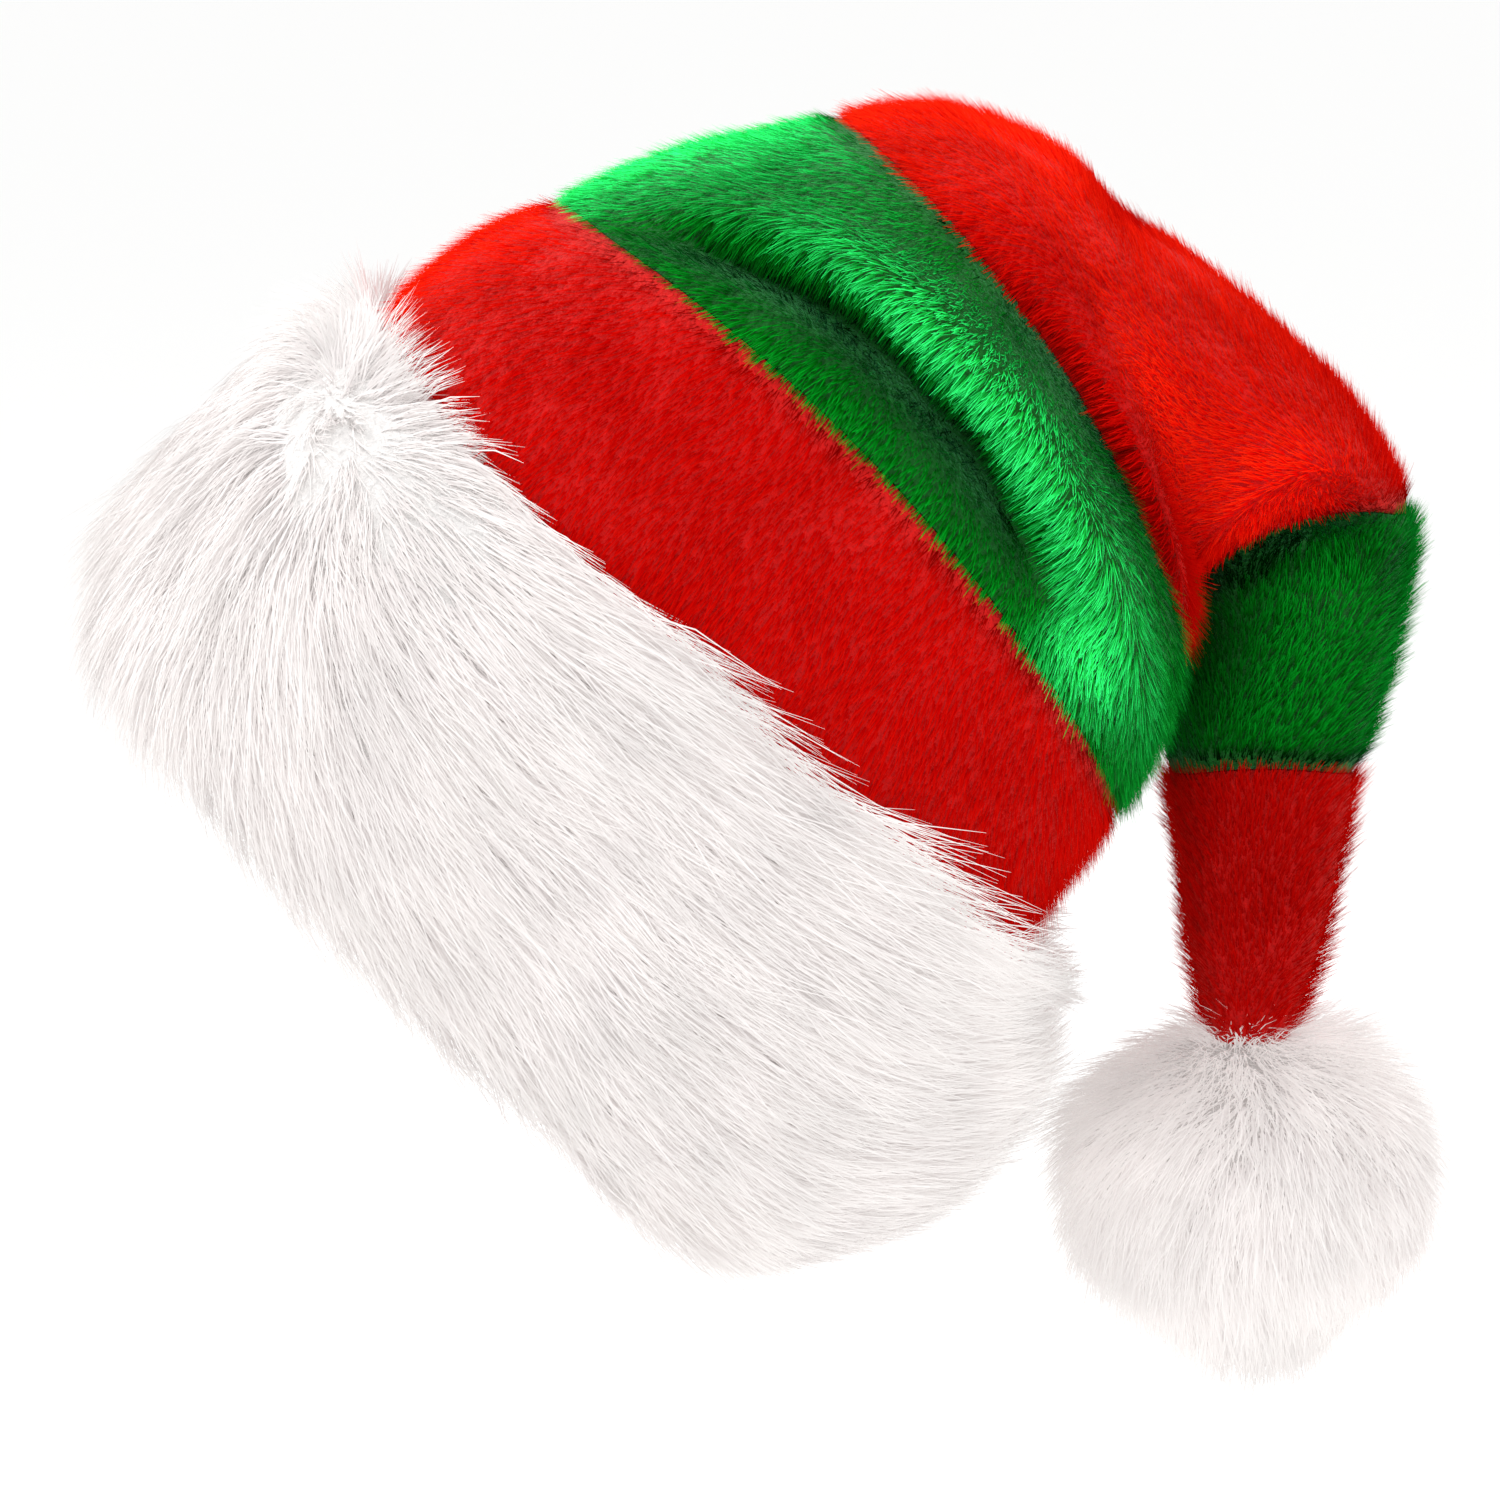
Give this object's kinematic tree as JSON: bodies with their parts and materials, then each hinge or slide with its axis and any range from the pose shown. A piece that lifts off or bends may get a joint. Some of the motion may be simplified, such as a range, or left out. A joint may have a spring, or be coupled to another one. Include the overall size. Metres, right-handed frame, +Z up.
{
  "type": "plush santa-style christmas hat with striped crown, fur cuff and pompom",
  "caption": "Soft plush Christmas hat: red and green striped crown that folds over into a hanging tail, long-haired white fur cuff and pompom. Worn on a head.",
  "frame": {"origin": "centre of the head opening, in the plane of the cloth's lower edge", "axes": "+Z up as the hat is worn, -Y towards its front, +X towards the side the crown leans and the tail hangs"},
  "size_m": [0.3448, 0.2607, 0.3111],
  "materials": {
    "red_plush": "short-pile plush",
    "green_plush": "short-pile plush",
    "white_fur": "long-haired faux fur"
  },
  "bodies": {
    "root": {"crown_band_1_red": "red_plush", "crown_band_2_green": "green_plush", "crown_band_3_red": "red_plush", "tail_band_4_green": "green_plush", "tail_band_5_red": "red_plush", "fur_cuff": "white_fur", "pompom": "white_fur"}
  },
  "joints": []
}
